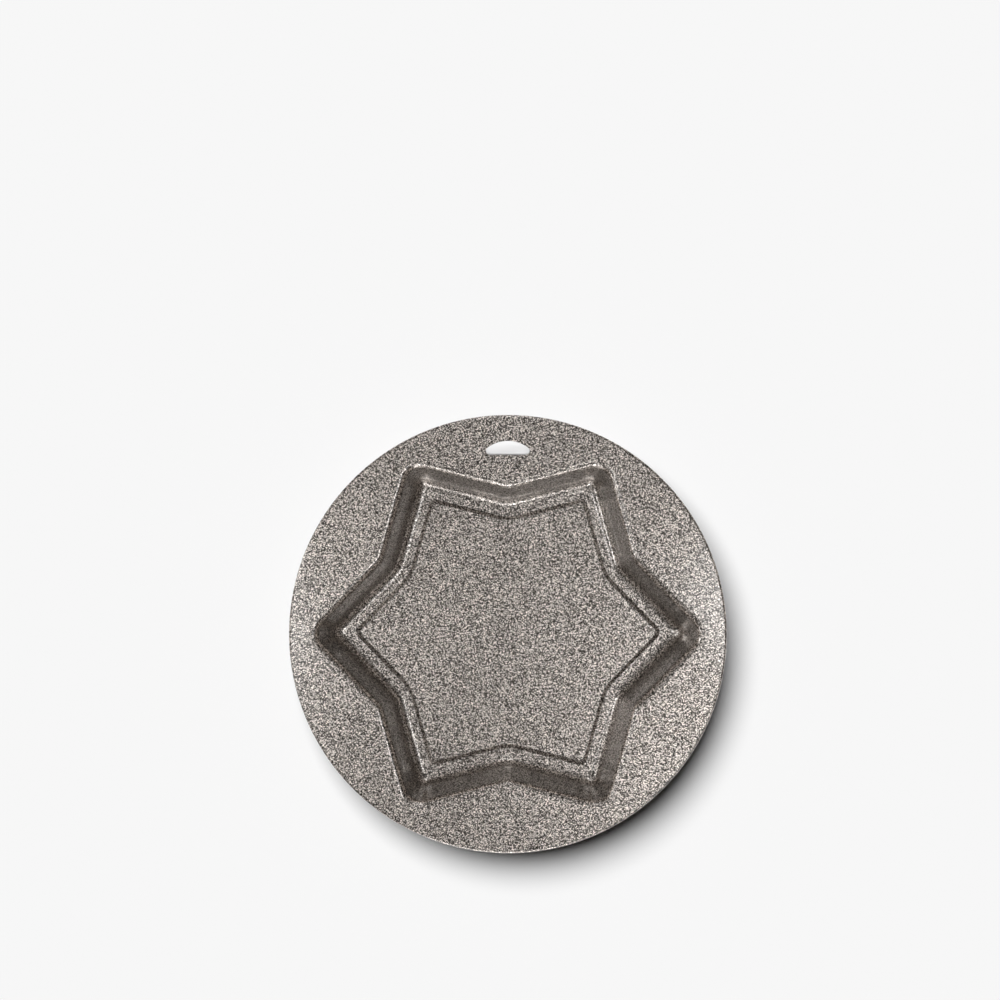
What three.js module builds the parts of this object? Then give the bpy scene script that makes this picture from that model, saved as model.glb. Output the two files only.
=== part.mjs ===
// Star cake pan: one steel sheet, pressed into a flat round flange and a six-pointed star
// well, with a hanging slot, a rim rolled round a wire, and a thin coat on each side.
// Millimetres, +Z up. The origin is on the resting plane, under the centre of the star.

import * as THREE from 'three';

// Overall size
const rimDiameter = 280;
const panDepth = 35;

// Layers of the sheet, from the food side down
const insideCoatThickness = 0.15;
const sheetThickness = 0.6;
const outsideCoatThickness = 0.15;
const coatClearance = 0.1;

// Star opening, given by the sharp corner that the flange and the wall would make
const tipToRim = 13.4;
const dipDraw = 16;
const tipRound = 11;
const dipRound = 10;

// Wall and floor, measured on the food side of the sheet
const wallDraft = THREE.MathUtils.degToRad(15);
const openingFillet = 4.5;
const footFillet = 7;
const footTipRound = 5;
const ledgeWidth = 9.3;
const riserHeight = 1.5;
const riserSlope = THREE.MathUtils.degToRad(30);
const riserFillet = 1.8;
const riserTipRound = 4;

// Rolled rim and its wire
const wireDiameter = 1.1;
const wireClearance = 0.25;
const curlStart = THREE.MathUtils.degToRad(90);
const curlEnd = THREE.MathUtils.degToRad(-180);
const insideCoatEnd = THREE.MathUtils.degToRad(-90);
const outsideCoatEnd = THREE.MathUtils.degToRad(-98);

// Hanging slot, a half-moon with its flat side towards the star
const slotWidth = 28;
const slotHeight = 9;
const slotCornerRadius = 2.6;
const slotToRim = 16.7;

// Facets
const starPoints = 6;
const tipSteps = 4;
const dipSteps = 2;
const rimSteps = 72;
const curlSteps = 6;
const insideCoatSteps = 4;
const outsideCoatSteps = 2;
const slotCornerSteps = 3;
const slotArcSteps = 4;
const wireSides = 6;
const filletSteps = { riser: 2, foot: 4, opening: 3 };

// Worked out from the sizes above
const starPitch = (2 * Math.PI) / starPoints;
const rightAngle = Math.PI / 2;
const rimRadius = rimDiameter / 2;
const tipRadius = rimRadius - tipToRim;
const dipRadius = tipRadius * Math.cos(starPitch / 2) - dipDraw;
const tipHalfAngle = Math.atan2(
  dipRadius * Math.sin(starPitch / 2),
  tipRadius - dipRadius * Math.cos(starPitch / 2),
);
const dipHalfAngle = tipHalfAngle + starPitch / 2;

const sheetTop = panDepth - insideCoatThickness - coatClearance;
const ledgeTop = outsideCoatThickness + coatClearance + sheetThickness;
const wallRun = (sheetTop - ledgeTop) * Math.tan(wallDraft);
const tipTaper = (tipRound - footTipRound) / wallRun;
const beadRadius = wireDiameter / 2 + wireClearance + sheetThickness;
const beadCircle = rimRadius - insideCoatThickness - coatClearance - beadRadius;
const beadHeight = sheetTop - beadRadius;

// Faces of the layers, as a distance above the food side of the sheet
const face = {
  insideCoatTop: coatClearance + insideCoatThickness,
  insideCoatBottom: coatClearance,
  sheetTop: 0,
  sheetBottom: -sheetThickness,
  outsideCoatTop: -sheetThickness - coatClearance,
  outsideCoatBottom: -sheetThickness - coatClearance - outsideCoatThickness,
};

// Section of the well on the food side of the sheet, from the flange down to the panel:
// inset from the star's outline, height, and the fillet of each bend.
const riserRun = riserHeight / Math.tan(riserSlope);
const openingBend = {
  inset: 0,
  height: sheetTop,
  radius: openingFillet,
  smallestTip: footTipRound,
  steps: filletSteps.opening,
};
const footBend = {
  inset: wallRun,
  height: ledgeTop,
  radius: footFillet,
  smallestTip: footTipRound,
  steps: filletSteps.foot,
};
const riserFootBend = {
  inset: wallRun + ledgeWidth,
  height: ledgeTop,
  radius: riserFillet,
  smallestTip: riserTipRound,
  steps: filletSteps.riser,
};
const riserTopBend = {
  ...riserFootBend,
  inset: riserFootBend.inset + riserRun,
  height: ledgeTop + riserHeight,
};
const bends = [openingBend, footBend, riserFootBend, riserTopBend];

// Points of the section round each bend, with the direction that faces the food
function wellSection() {
  const direction = (from, to) =>
    new THREE.Vector2(to.inset - from.inset, to.height - from.height).normalize();
  const level = new THREE.Vector2(1, 0);
  const stations = [];
  bends.forEach((bend, index) => {
    const before = index > 0 ? direction(bends[index - 1], bend) : level;
    const after = index < bends.length - 1 ? direction(bend, bends[index + 1]) : level;
    const turn = Math.asin(before.cross(after));
    const tangent = bend.radius * Math.tan(Math.abs(turn) / 2);
    const facing = Math.sign(turn);
    const start = new THREE.Vector2(bend.inset, bend.height).addScaledVector(before, -tangent);
    const normalBefore = new THREE.Vector2(-before.y, before.x);
    const centre = start.clone().addScaledVector(normalBefore, facing * bend.radius);
    for (let step = 0; step <= bend.steps; step += 1) {
      const normal = normalBefore.clone();
      normal.rotateAround(new THREE.Vector2(), (turn * step) / bend.steps);
      const point = centre.clone().addScaledVector(normal, -facing * bend.radius);
      stations.push({
        inset: point.x,
        height: point.y,
        normal,
        tip: Math.max(tipRound - point.x * tipTaper, bend.smallestTip),
      });
    }
  });
  return stations;
}

// Star outline moved inwards by the inset, with round tips and dips
function starOutline(inset, tip, dip) {
  const tipCorner = tipRadius - inset / Math.sin(tipHalfAngle);
  const dipCorner = dipRadius - inset / Math.sin(dipHalfAngle);
  const tipCentre = tipCorner - tip / Math.sin(tipHalfAngle);
  const dipCentre = dipCorner + dip / Math.sin(dipHalfAngle);
  const tipTurn = rightAngle - tipHalfAngle;
  const dipTurn = rightAngle - dipHalfAngle;
  const points = [];
  for (let index = 0; index < starPoints; index += 1) {
    const tipAt = index * starPitch;
    const dipAt = tipAt + starPitch / 2;
    const tipArc = new THREE.ArcCurve(
      tipCentre * Math.cos(tipAt),
      tipCentre * Math.sin(tipAt),
      tip,
      tipAt - tipTurn,
      tipAt + tipTurn,
      false,
    );
    const dipArc = new THREE.ArcCurve(
      dipCentre * Math.cos(dipAt),
      dipCentre * Math.sin(dipAt),
      dip,
      dipAt + Math.PI + dipTurn,
      dipAt + Math.PI - dipTurn,
      true,
    );
    points.push(...tipArc.getPoints(tipSteps), ...dipArc.getPoints(dipSteps));
  }
  return points;
}

// Ring of the well at one station of the section, on one face of a layer
function wellRing(station, offset) {
  const shift = station.normal.x * offset;
  const outline = starOutline(
    station.inset + shift,
    station.tip - shift,
    dipRound + station.inset + shift,
  );
  const height = station.height + station.normal.y * offset;
  return outline.map((point) => new THREE.Vector3(point.x, point.y, height));
}

function circleRing(radius, height) {
  const ring = [];
  for (let step = 0; step < rimSteps; step += 1) {
    const angle = (2 * Math.PI * step) / rimSteps;
    ring.push(new THREE.Vector3(radius * Math.cos(angle), radius * Math.sin(angle), height));
  }
  return ring;
}

// Rings round the bead, from one angle of its section to another
function beadRings(radius, from, to, steps) {
  const rings = [];
  for (let step = 0; step <= steps; step += 1) {
    const angle = THREE.MathUtils.lerp(from, to, step / steps);
    rings.push(
      circleRing(beadCircle + radius * Math.cos(angle), beadHeight + radius * Math.sin(angle)),
    );
  }
  return rings;
}

// Half-moon slot: a flat side, two round corners and one arc that is tangent to both
function slotOutline() {
  const reach = slotWidth / 2 - slotCornerRadius;
  const rise = slotHeight - slotCornerRadius;
  const arcRadius =
    (reach ** 2 + rise ** 2 - slotCornerRadius ** 2) / (2 * (rise - slotCornerRadius));
  const tangentAngle = Math.atan2(arcRadius - rise, reach);
  const flatSide = rimRadius - slotToRim - slotHeight;
  const cornerY = flatSide + slotCornerRadius;
  const arcY = flatSide + slotHeight - arcRadius;
  const right = new THREE.ArcCurve(
    reach, cornerY, slotCornerRadius, -rightAngle, tangentAngle, false,
  );
  const top = new THREE.ArcCurve(0, arcY, arcRadius, tangentAngle, Math.PI - tangentAngle, false);
  const left = new THREE.ArcCurve(
    -reach, cornerY, slotCornerRadius, Math.PI - tangentAngle, 3 * rightAngle, false,
  );
  return [
    ...right.getPoints(slotCornerSteps),
    ...top.getPoints(slotArcSteps).slice(1, -1),
    ...left.getPoints(slotCornerSteps),
  ];
}

// Closed mesh made of rings of vertices, with bands between rings and flat faces inside them
class RingMesh {
  constructor() {
    this.positions = [];
    this.triangles = [];
  }

  ring(points) {
    const first = this.positions.length / 3;
    points.forEach((point) => this.positions.push(point.x, point.y, point.z));
    return points.map((point, index) => ({ index: first + index, point }));
  }

  band(lower, upper) {
    lower.forEach((corner, step) => {
      const next = (step + 1) % lower.length;
      this.triangles.push(corner.index, lower[next].index, upper[next].index);
      this.triangles.push(corner.index, upper[next].index, upper[step].index);
    });
  }

  flat(outline, holes, faceUp) {
    const all = [outline, ...holes].flat();
    const faces = THREE.ShapeUtils.triangulateShape(
      outline.map((corner) => corner.point),
      holes.map((hole) => hole.map((corner) => corner.point)),
    );
    faces.forEach(([a, b, c]) => {
      const order = faceUp ? [a, b, c] : [a, c, b];
      this.triangles.push(...order.map((corner) => all[corner].index));
    });
  }

  geometry() {
    const geometry = new THREE.BufferGeometry();
    geometry.setAttribute('position', new THREE.Float32BufferAttribute(this.positions, 3));
    geometry.setIndex(this.triangles);
    geometry.computeVertexNormals();
    return geometry;
  }
}

// One layer of the pan between two of its faces. The rim rings of a face run outwards.
function layerGeometry(upper, lower) {
  const mesh = new RingMesh();
  const section = wellSection();

  const addFace = ({ offset, rimRings }, faceUp) => {
    const well = section.map((station) => mesh.ring(wellRing(station, offset)));
    const rim = rimRings.map((ring) => mesh.ring(ring));
    const height = sheetTop + offset;
    const slot = mesh.ring(
      slotOutline().map((point) => new THREE.Vector3(point.x, point.y, height)),
    );
    mesh.flat(well[well.length - 1], [], faceUp);
    mesh.flat(rim[0], [well[0], slot], faceUp);
    const outwards = [...well].reverse();
    [outwards, rim].forEach((rings) => {
      for (let index = 1; index < rings.length; index += 1) {
        const pair = [rings[index], rings[index - 1]];
        mesh.band(...(faceUp ? pair : pair.reverse()));
      }
    });
    return { edge: rim[rim.length - 1], slot };
  };

  const top = addFace(upper, true);
  const bottom = addFace(lower, false);
  mesh.band(bottom.edge, top.edge);
  mesh.band(top.slot, bottom.slot);
  return mesh.geometry();
}

function shellGeometry() {
  return layerGeometry(
    { offset: face.sheetTop, rimRings: beadRings(beadRadius, curlStart, curlEnd, curlSteps) },
    {
      offset: face.sheetBottom,
      rimRings: beadRings(beadRadius - sheetThickness, curlStart, curlEnd, curlSteps),
    },
  );
}

function insideCoatGeometry() {
  const rimRings = (offset) =>
    beadRings(beadRadius + offset, curlStart, insideCoatEnd, insideCoatSteps);
  return layerGeometry(
    { offset: face.insideCoatTop, rimRings: rimRings(face.insideCoatTop) },
    { offset: face.insideCoatBottom, rimRings: rimRings(face.insideCoatBottom) },
  );
}

// Under the flange the coat turns down the inner side of the bead and covers its underside
function outsideCoatGeometry() {
  const rimRings = (offset) => {
    const radius = beadRadius - sheetThickness - offset;
    const corner = circleRing(beadCircle - radius, sheetTop + offset);
    const underside = beadRings(radius, curlEnd, outsideCoatEnd, outsideCoatSteps);
    return [corner, ...underside];
  };
  return layerGeometry(
    { offset: face.outsideCoatTop, rimRings: rimRings(face.outsideCoatTop) },
    { offset: face.outsideCoatBottom, rimRings: rimRings(face.outsideCoatBottom) },
  );
}

function wireGeometry() {
  return new THREE.TorusGeometry(beadCircle, wireDiameter / 2, wireSides, rimSteps);
}

function namedMesh(name, geometry, color, roughness, metalness) {
  const material = new THREE.MeshStandardMaterial({ color, roughness, metalness });
  const mesh = new THREE.Mesh(geometry, material);
  mesh.name = name;
  return mesh;
}

const pan = new THREE.Group();
pan.name = 'star_cake_pan';

pan.add(namedMesh('pressed_steel_shell', shellGeometry(), 0x8c8a87, 0.4, 0.9));
pan.add(namedMesh('inside_stone_coat', insideCoatGeometry(), 0x8f8880, 0.55, 0.1));
pan.add(namedMesh('outside_coat', outsideCoatGeometry(), 0x3f3a37, 0.5, 0.2));

const rimWire = namedMesh('rim_wire', wireGeometry(), 0x9a9a98, 0.35, 0.95);
rimWire.position.z = beadHeight;
pan.add(rimWire);

export default pan;
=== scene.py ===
"""Star cake pan: the finish of a pressed steel tin with a speckled stone-effect coat inside, a
plain dark coat outside, and a rim rolled round a wire. Metres, +Z up, in the CAD's frame."""

import math

import bpy
from mathutils import Matrix, Vector


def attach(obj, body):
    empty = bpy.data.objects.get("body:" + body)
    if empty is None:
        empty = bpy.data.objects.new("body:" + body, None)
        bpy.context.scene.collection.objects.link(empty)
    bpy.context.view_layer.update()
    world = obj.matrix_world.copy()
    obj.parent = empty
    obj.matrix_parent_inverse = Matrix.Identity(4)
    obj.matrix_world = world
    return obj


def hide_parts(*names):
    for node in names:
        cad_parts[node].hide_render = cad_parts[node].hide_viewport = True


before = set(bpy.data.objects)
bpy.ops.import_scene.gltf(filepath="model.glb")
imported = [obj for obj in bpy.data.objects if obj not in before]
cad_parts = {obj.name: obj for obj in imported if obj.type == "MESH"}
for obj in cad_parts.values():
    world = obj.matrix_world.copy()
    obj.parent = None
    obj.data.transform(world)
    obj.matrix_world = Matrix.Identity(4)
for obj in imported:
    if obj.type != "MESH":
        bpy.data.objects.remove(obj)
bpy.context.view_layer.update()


# Pressed steel shell
# One disc of thin carbon steel, deep drawn in a press: a flat round flange, a six-pointed
# star well with a ledge round a raised panel, a punched slot and a rim curled over a wire.
# The same star tool shapes the sheet and both coats, so one geometry tree serves all three.

MM = 0.001
RIM_RADIUS = 140 * MM
PAN_DEPTH = 35 * MM
SHEET_THICKNESS = 0.6 * MM
COAT_THICKNESS = 0.15 * MM
COAT_CLEARANCE = 0.1 * MM
SHEET_TOP = PAN_DEPTH - COAT_THICKNESS - COAT_CLEARANCE
BEAD_RADIUS = 1.4 * MM
BEAD_CIRCLE = RIM_RADIUS - COAT_THICKNESS - COAT_CLEARANCE - BEAD_RADIUS
SECTION_BENDS = 4
WELD_DISTANCE = 0.002 * MM
LEVEL_TOLERANCE = 0.05 * MM
SHARP_ANGLE = math.radians(50)

# Name, socket type and value of each input of the star tool
STAR_SHEET_INPUTS = [
    ("Face Height", "Float", 0.0),
    ("Sheet Top", "Float", SHEET_TOP),
    ("Ledge Top", "Float", COAT_THICKNESS + COAT_CLEARANCE + SHEET_THICKNESS),
    ("Tip Radius", "Float", 126.6 * MM),
    ("Dip Draw", "Float", 16 * MM),
    ("Tip Round", "Float", 11 * MM),
    ("Dip Round", "Float", 10 * MM),
    ("Foot Tip Round", "Float", 5 * MM),
    ("Riser Tip Round", "Float", 4 * MM),
    ("Wall Draft", "Float", math.radians(15)),
    ("Opening Fillet", "Float", 4.5 * MM),
    ("Foot Fillet", "Float", 7 * MM),
    ("Ledge Width", "Float", 9.3 * MM),
    ("Riser Height", "Float", 1.5 * MM),
    ("Riser Slope", "Float", math.radians(30)),
    ("Riser Fillet", "Float", 1.8 * MM),
    ("Guard Row", "Float", 0.2 * MM),
    ("Bead Circle", "Float", BEAD_CIRCLE),
    ("Bead Height", "Float", SHEET_TOP - BEAD_RADIUS),
    ("Bead Face Radius", "Float", BEAD_RADIUS),
    ("Bead Corner Fillet", "Float", 0.0),
    ("Bead Start", "Float", math.radians(90)),
    ("Bead End", "Float", math.radians(-180)),
    ("Slot Width", "Float", 28 * MM),
    ("Slot Height", "Float", 9 * MM),
    ("Slot Corner Radius", "Float", 2.6 * MM),
    ("Slot Flat Side", "Float", 114.3 * MM),
    ("Star Points", "Int", 6),
    ("Half Point Steps", "Int", 26),
    ("Fillet Steps", "Int", 10),
    ("Bead Steps", "Int", 24),
    ("Rim Steps", "Int", 360),
    ("Slot Arc Steps", "Int", 12),
    ("Finish", "Material", None),
]


class Wire:
    """A value in a geometry or material tree, written as sums in the way of plain numbers."""

    def __init__(self, tree, socket):
        self.tree = tree
        self.socket = socket

    def math(self, operation, *others, clamp=False):
        node = self.tree.nodes.new("ShaderNodeMath")
        node.operation = operation
        node.use_clamp = clamp
        for slot, value in enumerate((self, *others)):
            plug(self.tree, value, node.inputs[slot])
        return Wire(self.tree, node.outputs[0])

    def __add__(self, other):
        return self.math("ADD", other)

    def __radd__(self, other):
        return self.math("ADD", other)

    def __sub__(self, other):
        return self.math("SUBTRACT", other)

    def __rsub__(self, other):
        return (self * -1).math("ADD", other)

    def __mul__(self, other):
        return self.math("MULTIPLY", other)

    def __truediv__(self, other):
        return self.math("DIVIDE", other)

    def __rtruediv__(self, other):
        return self.math("POWER", -1.0) * other

    def __neg__(self):
        return self * -1

    def sine(self):
        return self.math("SINE")

    def cosine(self):
        return self.math("COSINE")

    def floor(self):
        return self.math("FLOOR")

    def clamped(self):
        return self.math("ADD", 0.0, clamp=True)


def plug(tree, value, socket):
    """Joins a wire to a socket, or writes a plain value on it."""
    if isinstance(value, Wire):
        tree.links.new(value.socket, socket)
    else:
        socket.default_value = value


def fill_inputs(tree, node, inputs):
    for name, value in inputs.items():
        plug(tree, value, node.inputs[name])


def add_node(tree, kind, output=0, settings=None, **inputs):
    """Adds a node, fills its inputs by name and returns the wire from one of its outputs."""
    node = tree.nodes.new(kind)
    for name, value in (settings or {}).items():
        setattr(node, name, value)
    fill_inputs(tree, node, {name.replace("_", " "): value for name, value in inputs.items()})
    return Wire(tree, node.outputs[output])


def pick(tree, index, values):
    """The value whose place in the list is the index."""
    node = tree.nodes.new("GeometryNodeIndexSwitch")
    node.data_type = "FLOAT"
    while len(node.index_switch_items) < len(values):
        node.index_switch_items.new()
    plug(tree, index, node.inputs[0])
    for slot, value in enumerate(values, start=1):
        plug(tree, value, node.inputs[slot])
    return Wire(tree, node.outputs[0])


def place_vertices(tree, mesh, x, y, z):
    position = add_node(tree, "ShaderNodeCombineXYZ", X=x, Y=y, Z=z)
    return add_node(tree, "GeometryNodeSetPosition", Geometry=mesh, Position=position)


def welded(tree, geometry):
    return add_node(
        tree, "GeometryNodeMergeByDistance", Geometry=geometry, Distance=WELD_DISTANCE
    )


def ring_grid(tree, columns, rows):
    """A strip of faces that closes on itself, with the column and row of each vertex."""
    mesh = add_node(
        tree, "GeometryNodeMeshGrid", Vertices_X=rows, Vertices_Y=columns + 1
    )
    index = add_node(tree, "GeometryNodeInputIndex")
    row = (index / (columns + 1)).floor()
    column = index - row * (columns + 1)
    return mesh, column, row


def star_outline(size, turn, inset, tip, dip):
    """A point of the star's outline, moved inwards by the inset. Each tip and dip is an arc."""
    half_pitch = math.pi / size["Star Points"]
    tip_radius = size["Tip Radius"]
    dip_radius = tip_radius * half_pitch.cosine() - size["Dip Draw"]
    tip_half_angle = (dip_radius * half_pitch.sine()).math(
        "ARCTAN2", tip_radius - dip_radius * half_pitch.cosine()
    )
    dip_half_angle = tip_half_angle + half_pitch
    nearest_tip = turn.math("ROUND")
    side = turn - nearest_tip
    share = side.math("ABSOLUTE") * 2

    # Three stretches from the tip to the dip: the tip's arc, the straight edge, the dip's arc
    tip_share = 0.42
    dip_share = 0.72
    along_tip = (share / tip_share).clamped()
    along_dip = ((share - dip_share) / (1 - dip_share)).clamped()
    along_edge = ((share - tip_share) / (dip_share - tip_share)).clamped()
    tip_turn = (math.pi / 2 - tip_half_angle) * along_tip
    dip_turn = (math.pi / 2 - dip_half_angle) * (1 - along_dip)
    tip_centre = tip_radius - (inset + tip) / tip_half_angle.sine()
    dip_centre = dip_radius - (inset - dip) / dip_half_angle.sine()
    tip_x = tip_centre + tip * tip_turn.cosine()
    tip_y = tip * tip_turn.sine()
    dip_angle = half_pitch + math.pi + dip_turn
    dip_x = dip_centre * half_pitch.cosine() + dip * dip_angle.cosine()
    dip_y = dip_centre * half_pitch.sine() + dip * dip_angle.sine()
    across_x = tip_x + (dip_x - tip_x) * along_edge
    across_y = (tip_y + (dip_y - tip_y) * along_edge) * side.math("SIGN")
    axis = nearest_tip * half_pitch * 2
    return (
        across_x * axis.cosine() - across_y * axis.sine(),
        across_x * axis.sine() + across_y * axis.cosine(),
    )


def star_well(tree, size):
    """The well, from the flange's edge down the wall and over the ledge to the raised panel."""
    draft = size["Wall Draft"]
    wall_run = (size["Sheet Top"] - size["Ledge Top"]) * draft.math("TANGENT")
    riser_run = size["Riser Height"] / size["Riser Slope"].math("TANGENT")
    tip_taper = (size["Tip Round"] - size["Foot Tip Round"]) / wall_run
    ledge_end = wall_run + size["Ledge Width"]
    panel_top = size["Ledge Top"] + size["Riser Height"]
    down_wall = draft - math.pi / 2
    # Each bend has the rows of its fillet, with a guard row before and after it
    rows_per_bend = size["Fillet Steps"] + 3
    columns = size["Star Points"] * size["Half Point Steps"] * 2
    mesh, column, row = ring_grid(tree, columns, rows_per_bend * SECTION_BENDS)

    bend = (row / rows_per_bend).floor()
    row_in_bend = row - bend * rows_per_bend
    along = ((row_in_bend - 1) / size["Fillet Steps"]).clamped()
    corner_x = pick(tree, bend, [0.0, wall_run, ledge_end, ledge_end + riser_run])
    corner_z = pick(
        tree, bend, [size["Sheet Top"], size["Ledge Top"], size["Ledge Top"], panel_top]
    )
    foot_tip = size["Foot Tip Round"]
    riser_tip = size["Riser Tip Round"]
    riser_fillet = size["Riser Fillet"]
    radius = pick(
        tree, bend, [size["Opening Fillet"], size["Foot Fillet"], riser_fillet, riser_fillet]
    )
    smallest_tip = pick(tree, bend, [foot_tip, foot_tip, riser_tip, riser_tip])
    before = pick(tree, bend, [0.0, down_wall, 0.0, size["Riser Slope"]])
    after = pick(tree, bend, [down_wall, 0.0, size["Riser Slope"], 0.0])
    turn = after - before
    facing = turn.math("SIGN")
    tangent = radius * (turn.math("ABSOLUTE") / 2).math("TANGENT")
    centre_x = corner_x - tangent * before.cosine() - facing * radius * before.sine()
    centre_z = corner_z - tangent * before.sine() + facing * radius * before.cosine()
    heading = before + turn * along
    reach = size["Face Height"] - facing * radius
    last_row = row_in_bend.math("GREATER_THAN", rows_per_bend - 1.5)
    first_row = row_in_bend.math("LESS_THAN", 0.5)
    guard = (last_row - first_row) * size["Guard Row"]
    face_shift = -size["Face Height"] * heading.sine()
    inset = centre_x - reach * heading.sine() + guard * heading.cosine()
    height = centre_z + reach * heading.cosine() + guard * heading.sine()
    tapered_tip = size["Tip Round"] - (inset - face_shift) * tip_taper
    tip = tapered_tip.math("MAXIMUM", smallest_tip) - face_shift
    place_in_turn = column / (size["Half Point Steps"] * 2)
    x, y = star_outline(size, place_in_turn, inset, tip, size["Dip Round"] + inset)
    return place_vertices(tree, mesh, x, y, height)


def rolled_bead(tree, size):
    """The rim: a guard row on the flange, a corner where the face has one, and the curl."""
    # Row 0 is the guard row, the corner starts in row 1 and the curl after the corner
    corner_steps = size["Fillet Steps"]
    fillet = size["Bead Corner Fillet"]
    face_radius = size["Bead Face Radius"]
    start = size["Bead Start"]
    mesh, column, row = ring_grid(
        tree, size["Rim Steps"], corner_steps + size["Bead Steps"] + 3
    )
    angle = column * (2 * math.pi) / size["Rim Steps"]
    along_corner = ((row - 1) / corner_steps).clamped()
    along_curl = ((row - corner_steps - 2) / size["Bead Steps"]).clamped()
    on_curl = row.math("GREATER_THAN", corner_steps + 1.5)
    on_guard = row.math("LESS_THAN", 0.5) * size["Guard Row"]
    corner = size["Bead Circle"] + face_radius * start.cosine()
    top = size["Sheet Top"] + size["Face Height"]
    corner_turn = (1 - along_corner) * (math.pi / 2)
    curl_turn = start + (size["Bead End"] - start) * along_curl
    corner_radius = corner - fillet + fillet * corner_turn.cosine() - on_guard
    corner_height = top - fillet + fillet * corner_turn.sine()
    curl_radius = size["Bead Circle"] + face_radius * curl_turn.cosine()
    curl_height = size["Bead Height"] + face_radius * curl_turn.sine()
    radius = corner_radius + (curl_radius - corner_radius) * on_curl
    height = corner_height + (curl_height - corner_height) * on_curl
    return place_vertices(tree, mesh, radius * angle.cosine(), radius * angle.sine(), height)


def slot_ring(tree, size):
    """The half-moon slot: two round corners and one arc that is tangent to both."""
    corner = size["Slot Corner Radius"]
    reach = size["Slot Width"] / 2 - corner
    rise = size["Slot Height"] - corner
    arc = (reach * reach + rise * rise - corner * corner) / ((rise - corner) * 2)
    tangent_angle = (arc - rise).math("ARCTAN2", reach)
    corner_y = size["Slot Flat Side"] + corner
    arc_y = size["Slot Flat Side"] + size["Slot Height"] - arc
    steps = size["Slot Arc Steps"]
    mesh = add_node(tree, "GeometryNodeMeshCircle", Vertices=(steps + 1) * 3)
    index = add_node(tree, "GeometryNodeInputIndex")
    part = (index / (steps + 1)).floor()
    along = (index - part * (steps + 1)) / steps
    first = pick(tree, part, [-math.pi / 2, tangent_angle, math.pi - tangent_angle])
    last = pick(tree, part, [tangent_angle, math.pi - tangent_angle, 1.5 * math.pi])
    radius = pick(tree, part, [corner, arc, corner])
    angle = first + (last - first) * along
    x = pick(tree, part, [reach, 0.0, -reach]) + radius * angle.cosine()
    y = pick(tree, part, [corner_y, arc_y, corner_y]) + radius * angle.sine()
    ring = place_vertices(tree, mesh, x, y, 0.0)
    return welded(tree, ring)


def open_edge(tree, mesh, above=None, below=None):
    """The open edge of a welded strip as a curve, where it is above or below a height."""
    # An open edge has one face beside it, and every other edge has two
    faces = add_node(tree, "GeometryNodeInputMeshEdgeNeighbors")
    position = add_node(tree, "GeometryNodeInputPosition")
    height = add_node(tree, "ShaderNodeSeparateXYZ", output="Z", Vector=position)
    wanted = faces.math("LESS_THAN", 1.5)
    if above is not None:
        wanted = wanted * height.math("GREATER_THAN", above)
    if below is not None:
        wanted = wanted * height.math("LESS_THAN", below)
    return add_node(tree, "GeometryNodeMeshToCurve", Mesh=mesh, Selection=wanted)


def joined(tree, *parts):
    node = tree.nodes.new("GeometryNodeJoinGeometry")
    for part in reversed(parts):
        tree.links.new(part.socket, node.inputs[0])
    return Wire(tree, node.outputs[0])


def filled(tree, height, *curves):
    """A flat face at a height inside the first curve, with the other curves as holes."""
    flat = add_node(
        tree,
        "GeometryNodeFillCurve",
        settings={"mode": "TRIANGLES"},
        Curve=joined(tree, *curves),
    )
    lift = add_node(tree, "ShaderNodeCombineXYZ", Z=height)
    return add_node(tree, "GeometryNodeTransform", Geometry=flat, Translation=lift)


def start_tree(name, inputs):
    """A geometry tree with named inputs, and a wire from each of them."""
    tree = bpy.data.node_groups.new(name, "GeometryNodeTree")
    tree.interface.new_socket("Geometry", in_out="OUTPUT", socket_type="NodeSocketGeometry")
    for label, kind, value in inputs:
        socket = tree.interface.new_socket(label, in_out="INPUT", socket_type="NodeSocket" + kind)
        if value is not None:
            socket.default_value = value
    entry = tree.nodes.new("NodeGroupInput")
    return tree, {label: Wire(tree, entry.outputs[label]) for label, _, _ in inputs}


def end_tree(tree, geometry, finish):
    """The last nodes of a geometry tree: smooth faces that are real and carry their finish."""
    smooth = add_node(tree, "GeometryNodeSetShadeSmooth", Geometry=geometry)
    real = add_node(tree, "GeometryNodeRealizeInstances", Geometry=smooth)
    finished = add_node(tree, "GeometryNodeSetMaterial", Geometry=real, Material=finish)
    exit_node = tree.nodes.new("NodeGroupOutput")
    tree.links.new(finished.socket, exit_node.inputs["Geometry"])


star_sheet_tree, size = start_tree("Pressed star sheet", STAR_SHEET_INPUTS)
facing_up = add_node(
    star_sheet_tree, "GeometryNodeFlipFaces", Mesh=star_well(star_sheet_tree, size)
)
well = welded(star_sheet_tree, facing_up)
bead = welded(star_sheet_tree, rolled_bead(star_sheet_tree, size))
flange_level = size["Sheet Top"] + size["Face Height"]
flange_floor = flange_level - LEVEL_TOLERANCE
flange = filled(
    star_sheet_tree,
    flange_level,
    open_edge(star_sheet_tree, bead, above=flange_floor),
    open_edge(star_sheet_tree, well, above=flange_floor),
    add_node(
        star_sheet_tree, "GeometryNodeMeshToCurve", Mesh=slot_ring(star_sheet_tree, size)
    ),
)
panel_level = size["Ledge Top"] + size["Riser Height"] + size["Face Height"]
panel_edge = open_edge(star_sheet_tree, well, below=panel_level + LEVEL_TOLERANCE)
panel = filled(star_sheet_tree, panel_level, panel_edge)
sheet = welded(star_sheet_tree, joined(star_sheet_tree, well, bead, flange, panel))
end_tree(star_sheet_tree, sheet, size["Finish"])


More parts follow.
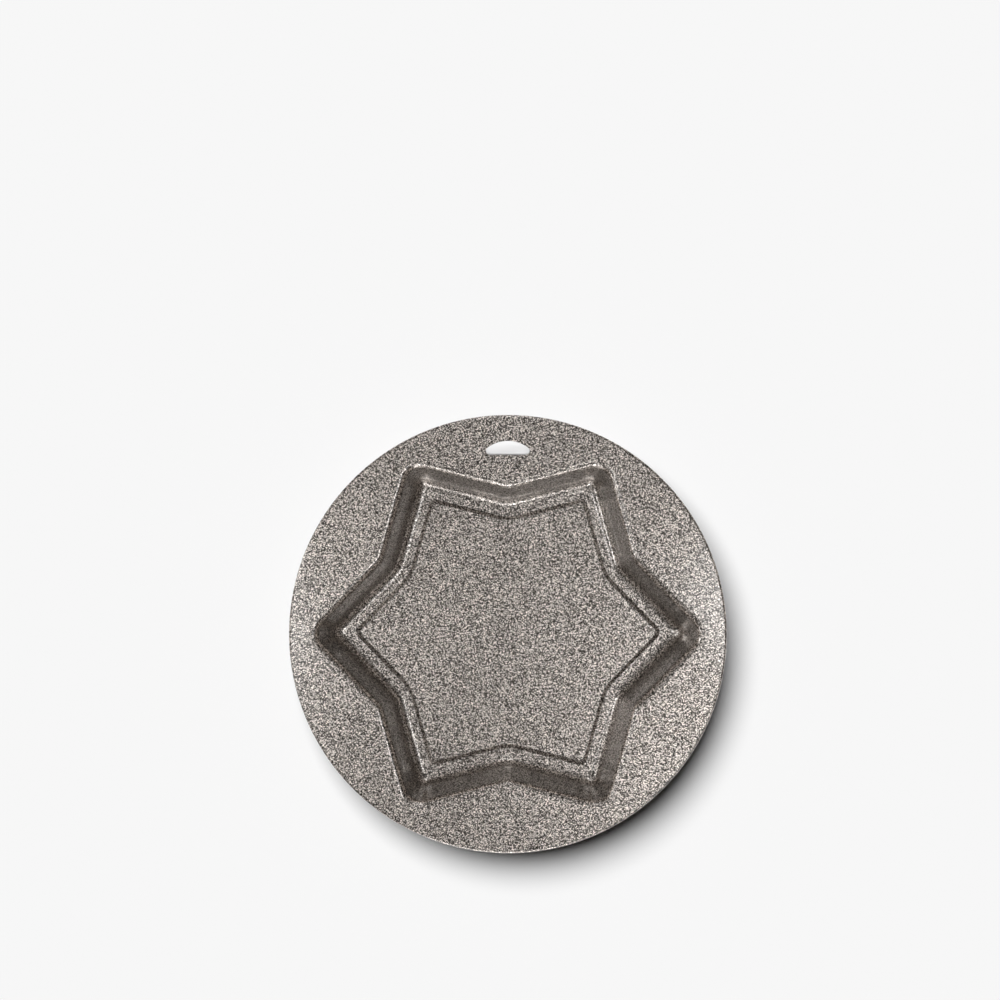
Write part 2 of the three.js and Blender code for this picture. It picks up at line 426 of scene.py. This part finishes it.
def made_by_tree(name, tree, finish, sizes, thickness=None):
    """Runs a geometry tree with a piece's own sizes, gives the result its thickness downwards
    where it is a sheet, and returns it as a plain mesh object."""
    values = {"Finish": finish, **sizes}
    carrier = bpy.data.objects.new(name + "_tool", bpy.data.meshes.new(name + "_tool"))
    bpy.context.scene.collection.objects.link(carrier)
    tool = carrier.modifiers.new(tree.name, "NODES")
    tool.node_group = tree
    for socket in tree.interface.items_tree:
        if socket.in_out == "INPUT" and socket.name in values:
            tool[socket.identifier] = values[socket.name]
    if thickness is not None:
        wall = carrier.modifiers.new("Sheet thickness", "SOLIDIFY")
        wall.thickness = thickness
        wall.offset = -1
        wall.use_even_offset = True
    graph = bpy.context.evaluated_depsgraph_get()
    mesh = bpy.data.meshes.new_from_object(carrier.evaluated_get(graph))
    bpy.data.objects.remove(carrier)
    mesh.name = name
    mesh.materials.clear()
    mesh.materials.append(finish)
    mesh.polygons.foreach_set("material_index", [0] * len(mesh.polygons))
    piece = bpy.data.objects.new(name, mesh)
    bpy.context.scene.collection.objects.link(piece)
    return piece


def press_sheet(name, finish, thickness, sizes):
    """One layer of the pan from the star tool, with the layer's own sizes."""
    sheet = made_by_tree(name, star_sheet_tree, finish, sizes, thickness)
    sheet.data.set_sharp_from_angle(angle=SHARP_ANGLE)
    return sheet


def new_material(name):
    """A node material, with its tree, its surface shader and the object's own coordinates."""
    material = bpy.data.materials.new(name)
    material.use_nodes = True
    tree = material.node_tree
    place = add_node(tree, "ShaderNodeTexCoord", output="Object")
    return material, tree, tree.nodes["Principled BSDF"], place


def colour_steps(tree, value, steps):
    """A colour ramp from a list of (place, colour)."""
    node = tree.nodes.new("ShaderNodeValToRGB")
    ramp = node.color_ramp
    for index, (position, colour) in enumerate(steps):
        element = ramp.elements[index] if index < 2 else ramp.elements.new(position)
        element.position = position
        element.color = (*colour, 1)
    plug(tree, value, node.inputs[0])
    return Wire(tree, node.outputs[0])


STEEL_GRAINS_PER_METRE = 900.0

steel, tree, surface, place = new_material("Drawn carbon steel")
grain = add_node(
    tree,
    "ShaderNodeTexNoise",
    Vector=place,
    Scale=STEEL_GRAINS_PER_METRE,
    Detail=4.0,
    Roughness=0.6,
)
steel_colour = colour_steps(tree, grain, [
    (0.0, (0.42, 0.41, 0.4)),
    (1.0, (0.6, 0.59, 0.57)),
])
fill_inputs(tree, surface, {
    "Base Color": steel_colour,
    "Metallic": 1.0,
    "Roughness": grain * 0.2 + 0.28,
})

steel_shell = press_sheet("drawn_steel_shell", steel, SHEET_THICKNESS, {})
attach(steel_shell, "root")
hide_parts("pressed_steel_shell")


# Inside coat
# A sprayed non-stick coat with a stone look: light and dark flecks of pigment and metal flake
# in a dark grey-brown binder. It covers the food side and runs round the lip to its underside.

FLECK_SPACING = 0.6 * MM
FLECK_REACH = 0.72
FINE_FLECK_SPACING = 0.34 * MM
FINE_FLECK_REACH = 0.6
FINE_FLECK_TONE = 0.55
FLECK_EDGE_BLUR = 0.14


def flecks(tree, place, spacing, reach):
    """Flecks a given distance apart: a random tone on each, and none between them. The reach
    is a fleck's radius as a share of the spacing."""
    cells = tree.nodes.new("ShaderNodeTexVoronoi")
    fill_inputs(tree, cells, {"Vector": place, "Scale": 1 / spacing})
    tone = add_node(tree, "ShaderNodeSeparateColor", Color=Wire(tree, cells.outputs["Color"]))
    middle_distance = Wire(tree, cells.outputs["Distance"])
    return tone * ((reach - middle_distance) / FLECK_EDGE_BLUR).clamped()


stone, tree, surface, place = new_material("Stone-effect coat")
tone = flecks(tree, place, FLECK_SPACING, FLECK_REACH).math(
    "MAXIMUM", flecks(tree, place, FINE_FLECK_SPACING, FINE_FLECK_REACH) * FINE_FLECK_TONE
)
fleck_colour = colour_steps(tree, tone, [
    (0.0, (0.014, 0.0125, 0.011)),
    (0.3, (0.06, 0.053, 0.048)),
    (0.52, (0.36, 0.327, 0.298)),
    (0.84, (1.0, 0.925, 0.86)),
])
fleck_relief = add_node(
    tree, "ShaderNodeBump", Strength=0.35, Distance=0.05 * MM, Height=tone
)
fill_inputs(tree, surface, {
    "Base Color": fleck_colour,
    "Metallic": 0.95,
    "Roughness": 0.37 - tone * 0.06,
    "Coat Weight": 1.0,
    "Coat Roughness": 0.12,
    "Normal": fleck_relief,
})

coat_top = COAT_CLEARANCE + COAT_THICKNESS
stone_coat = press_sheet("stone_effect_coat", stone, COAT_THICKNESS, {
    "Face Height": coat_top,
    "Bead Face Radius": BEAD_RADIUS + coat_top,
    "Bead End": math.radians(-90),
})
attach(stone_coat, "root")
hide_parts("inside_stone_coat")


# Outside coat
# A thin plain dark satin coat under the pan. Under the flange it turns down the inner side of
# the rolled rim and ends below the rim, where it meets the speckled coat.

MOTTLES_PER_METRE = 60.0
DIMPLES_PER_METRE = 1400.0

satin, tree, surface, place = new_material("Dark satin coat")
mottle = add_node(tree, "ShaderNodeTexNoise", Vector=place, Scale=MOTTLES_PER_METRE, Detail=3.0)
peel = add_node(tree, "ShaderNodeTexNoise", Vector=place, Scale=DIMPLES_PER_METRE, Detail=2.0)
satin_colour = colour_steps(tree, mottle, [
    (0.3, (0.135, 0.123, 0.118)),
    (0.7, (0.17, 0.156, 0.149)),
])
peel_relief = add_node(tree, "ShaderNodeBump", Strength=0.2, Distance=0.03 * MM, Height=peel)
fill_inputs(tree, surface, {
    "Base Color": satin_colour,
    "Metallic": 0.2,
    "Roughness": 0.4 + mottle * 0.12,
    "Normal": peel_relief,
})

outside_top = -SHEET_THICKNESS - COAT_CLEARANCE
outside_coat = press_sheet("dark_satin_coat", satin, COAT_THICKNESS, {
    "Face Height": outside_top,
    "Bead Face Radius": BEAD_RADIUS + COAT_CLEARANCE,
    "Bead Corner Fillet": 0.5 * MM,
    "Bead Start": math.radians(180),
    "Bead End": math.radians(262),
})
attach(outside_coat, "root")
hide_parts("outside_coat")


# Rim wire
# A ring of bright drawn steel wire that the rim is rolled round. It keeps the flange flat.

WIRE_DIAMETER = 1.1 * MM
DRAW_LINES_PER_METRE = 2400.0

drawn_wire, tree, surface, place = new_material("Drawn steel wire")
draw_lines = add_node(
    tree, "ShaderNodeTexNoise", Vector=place, Scale=DRAW_LINES_PER_METRE, Detail=3.0
)
wire_colour = colour_steps(tree, draw_lines, [
    (0.3, (0.4, 0.4, 0.39)),
    (0.7, (0.62, 0.61, 0.6)),
])
fill_inputs(tree, surface, {
    "Base Color": wire_colour,
    "Metallic": 1.0,
    "Roughness": 0.25 + draw_lines * 0.2,
})

WIRE_INPUTS = [
    ("Ring Radius", "Float", BEAD_CIRCLE),
    ("Wire Radius", "Float", WIRE_DIAMETER / 2),
    ("Height", "Float", SHEET_TOP - BEAD_RADIUS),
    ("Ring Steps", "Int", 360),
    ("Section Steps", "Int", 16),
    ("Finish", "Material", None),
]
wire_tree, size = start_tree("Wire ring", WIRE_INPUTS)
ring = add_node(
    wire_tree,
    "GeometryNodeCurvePrimitiveCircle",
    Resolution=size["Ring Steps"],
    Radius=size["Ring Radius"],
)
section = add_node(
    wire_tree,
    "GeometryNodeCurvePrimitiveCircle",
    Resolution=size["Section Steps"],
    Radius=size["Wire Radius"],
)
tube = add_node(wire_tree, "GeometryNodeCurveToMesh", Curve=ring, Profile_Curve=section)
lift = add_node(wire_tree, "ShaderNodeCombineXYZ", Z=size["Height"])
raised = add_node(wire_tree, "GeometryNodeTransform", Geometry=tube, Translation=lift)
end_tree(wire_tree, raised, size["Finish"])

wire_ring = made_by_tree("drawn_rim_wire", wire_tree, drawn_wire, {})
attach(wire_ring, "root")
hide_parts("rim_wire")


# Studio floor
# A plain pale table that keeps the pan's soft shadow. It isn't part of the pan.

PALE = 0.93
FLOOR_HALF_SIZE = 6.0
FLOOR_LEVEL = -0.2 * MM

pale_floor, tree, surface, _ = new_material("Pale studio floor")
fill_inputs(tree, surface, {
    "Base Color": (PALE, PALE, PALE, 1),
    "Roughness": 1.0,
    "Specular IOR Level": 0.0,
})

corners = [(-1, -1), (1, -1), (1, 1), (-1, 1)]
floor_mesh = bpy.data.meshes.new("studio_floor")
floor_mesh.from_pydata(
    [(x * FLOOR_HALF_SIZE, y * FLOOR_HALF_SIZE, FLOOR_LEVEL) for x, y in corners],
    [],
    [(0, 1, 2, 3)],
)
floor_mesh.materials.append(pale_floor)
studio_floor = bpy.data.objects.new("studio_floor", floor_mesh)
bpy.context.scene.collection.objects.link(studio_floor)


# Studio light
# A pale room that shows behind the table and, dimmer and warmer, in gloss. A wide soft lamp
# makes the pan's shadow on the table, and soft boxes on a dome light the pan alone.

CEILING_LIGHT = 0.1
CEILING_START = 0.2
CEILING_BLEND = 0.3
GLOSS_TINT = (0.62, 0.54, 0.48)

world = bpy.data.worlds.new("Pale room")
bpy.context.scene.world = world
world.use_nodes = True
tree = world.node_tree
background = tree.nodes["Background"]
view_direction = add_node(tree, "ShaderNodeTexCoord", output="Generated")
rise = add_node(tree, "ShaderNodeSeparateXYZ", output="Z", Vector=view_direction)
ceiling = ((rise - CEILING_START) / CEILING_BLEND).clamped()
rays = tree.nodes.new("ShaderNodeLightPath")
in_gloss = Wire(tree, rays.outputs["Is Glossy Ray"])
seen = Wire(tree, rays.outputs["Is Camera Ray"]).math("MAXIMUM", in_gloss).math(
    "MAXIMUM", Wire(tree, rays.outputs["Is Transmission Ray"])
)
room_colour = colour_steps(tree, in_gloss, [(0.0, (1.0, 1.0, 1.0)), (1.0, GLOSS_TINT)])
plug(tree, room_colour, background.inputs["Color"])
room = PALE + ceiling * (CEILING_LIGHT - PALE)
plug(tree, seen * room, background.inputs["Strength"])

pan_pieces = bpy.data.collections.new("pan_pieces")
for piece in (steel_shell, stone_coat, outside_coat, wire_ring):
    pan_pieces.objects.link(piece)
table_pieces = bpy.data.collections.new("table_pieces")
table_pieces.objects.link(studio_floor)


def place_lamp(name, data, position, aim, receivers):
    """A lamp that faces a point and lights the pieces of one collection."""
    lamp = bpy.data.objects.new(name, data)
    lamp.location = position
    lamp.rotation_euler = (aim - lamp.location).to_track_quat("-Z", "Y").to_euler()
    lamp.light_linking.receiver_collection = receivers
    bpy.context.scene.collection.objects.link(lamp)


table_lamp = bpy.data.lights.new("table_lamp", "SUN")
table_lamp.energy = 3.56
table_lamp.angle = math.radians(38)
origin = Vector((0, 0, 0))
place_lamp("table_lamp", table_lamp, Vector((-0.29, 0.45, 1)), origin, table_pieces)

# Lights the table that shows through the hanging slot
slot_lamp = bpy.data.lights.new("slot_lamp", "SPOT")
slot_lamp.energy = 50.0
slot_lamp.spot_size = math.radians(1.3)
slot_lamp.spot_blend = 0.1
slot_lamp.shadow_soft_size = 0.005
slot_middle = Vector((0, 0.1175, PAN_DEPTH))
place_lamp("slot_lamp", slot_lamp, Vector((0, 0.022, 1.5)), slot_middle, table_pieces)

DOME_RADIUS = 1.6

# Name, tilt from straight above and turn from +X in degrees, width in metres, power in watts
SOFT_BOXES = [
    ("wide_overhead_box", 0, 0, 3.6, 3.8),
    ("right_overhead_box", 12, 0, 0.2, 0.5),
    ("right_box", 21, 355, 0.2, 0.9),
    ("left_overhead_box", 17, 187, 0.4, 1.8),
    ("front_right_box", 20, 315, 0.3, 1.8),
    ("upper_left_box", 54, 163, 0.3, 3.2),
    ("left_box", 58, 197, 0.3, 2.0),
    ("rear_overhead_box", 16, 90, 0.3, 0.6),
    ("rear_box", 50, 90, 0.7, 3.0),
    ("front_box", 52, 270, 0.9, 1.1),
    ("front_low_box", 68, 270, 1.1, 4.4),
    ("front_foot_box", 80, 270, 1.6, 8.5),
]
for name, tilt, turn, width, power in SOFT_BOXES:
    soft_box = bpy.data.lights.new(name, "AREA")
    soft_box.shape = "DISK"
    soft_box.size = width
    soft_box.energy = power
    tilt = math.radians(tilt)
    turn = math.radians(turn)
    side = math.sin(tilt)
    direction = Vector((side * math.cos(turn), side * math.sin(turn), math.cos(tilt)))
    place_lamp(name, soft_box, direction * DOME_RADIUS, origin, pan_pieces)


# Camera
# Almost straight above the pan, displaced a little towards its slot. The pan's centre falls
# below the middle of the picture.

CAMERA_PLACE = Vector((0.002, 0.048, 1.485))
AIM_POINT = Vector((-0.005, 0.0854, 0.035))
SENSOR_WIDTH = 36.0
PICTURE_WIDTH = 1000
PIXELS_ACROSS_RIM = 437.6

camera_data = bpy.data.cameras.new("camera")
camera_data.sensor_width = SENSOR_WIDTH
distance = (CAMERA_PLACE - Vector((0, 0, PAN_DEPTH))).length
focal_pixels = PIXELS_ACROSS_RIM * distance / (2 * RIM_RADIUS)
camera_data.lens = focal_pixels * SENSOR_WIDTH / PICTURE_WIDTH
camera = bpy.data.objects.new("camera", camera_data)
backwards = (CAMERA_PLACE - AIM_POINT).normalized()
to_the_right = Vector((0, 1, 0)).cross(backwards).normalized()
upwards = backwards.cross(to_the_right)
camera.rotation_euler = Matrix((to_the_right, upwards, backwards)).transposed().to_euler()
camera.location = CAMERA_PLACE
bpy.context.scene.collection.objects.link(camera)
bpy.context.scene.camera = camera
bpy.context.scene.view_settings.view_transform = "Standard"
